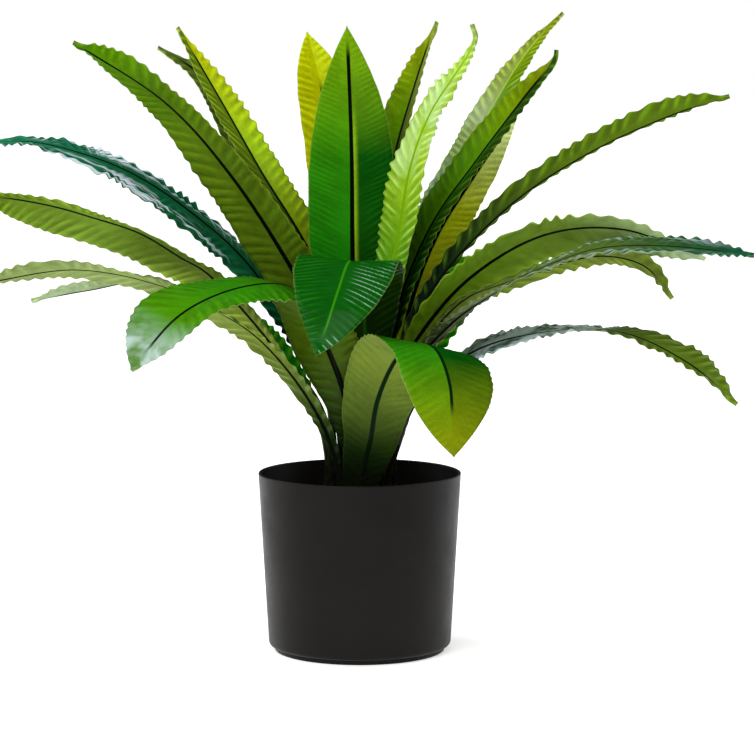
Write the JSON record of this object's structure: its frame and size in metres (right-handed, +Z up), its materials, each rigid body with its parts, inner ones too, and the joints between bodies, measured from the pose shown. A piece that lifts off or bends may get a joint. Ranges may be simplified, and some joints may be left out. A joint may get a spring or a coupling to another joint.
{
  "type": "potted bird's nest fern",
  "caption": "Dark tapered planter holding a bird's nest fern: a rosette of long strap-shaped, rippled fronds that rise and arch from one short crown in soil.",
  "frame": {"origin": "centre of the planter's underside, on the surface that it stands on", "axes": "+Z up; -Y is the plant's front, the side the picture shows; +X is the picture's right"},
  "size_m": [0.6204, 0.4386, 0.5354],
  "materials": {
    "pot": "satin",
    "soil": "rough, granular",
    "crown": "rough, fibrous",
    "leaf_green": "glossy corrugated leaf, bright green",
    "leaf_lime": "glossy corrugated leaf, light lime green",
    "leaf_yellow": "satin corrugated leaf, golden yellow green",
    "leaf_olive": "satin leaf, olive green",
    "leaf_blue": "glossy ruffled leaf, deep blue green"
  },
  "bodies": {
    "root": {"pot": "pot", "soil": "soil", "crown": "crown", "frond_centre_tall": "leaf_green", "frond_centre_bowed": "leaf_green", "frond_behind_left": "leaf_yellow", "frond_behind_right": "leaf_lime", "frond_lime_upright": "leaf_lime", "frond_right_high_back": "leaf_lime", "frond_right_high": "leaf_green", "frond_right_yellow": "leaf_yellow", "frond_right_long": "leaf_green", "frond_right_arching": "leaf_olive", "frond_right_edgewise": "leaf_blue", "frond_right_short": "leaf_olive", "frond_right_low": "leaf_blue", "frond_front_bowed": "leaf_green", "frond_left_broad": "leaf_olive", "frond_left_yellow": "leaf_lime", "frond_left_behind": "leaf_green", "frond_left_blue": "leaf_blue", "frond_left_long": "leaf_olive", "frond_left_low": "leaf_olive", "frond_left_short": "leaf_green", "frond_front_left_bowed": "leaf_green", "frond_back_low_1": "leaf_green", "frond_back_low_2": "leaf_olive", "frond_back_high": "leaf_green", "frond_back_low_3": "leaf_green", "frond_back_low_4": "leaf_lime", "frond_back_low_5": "leaf_green"}
  },
  "joints": []
}
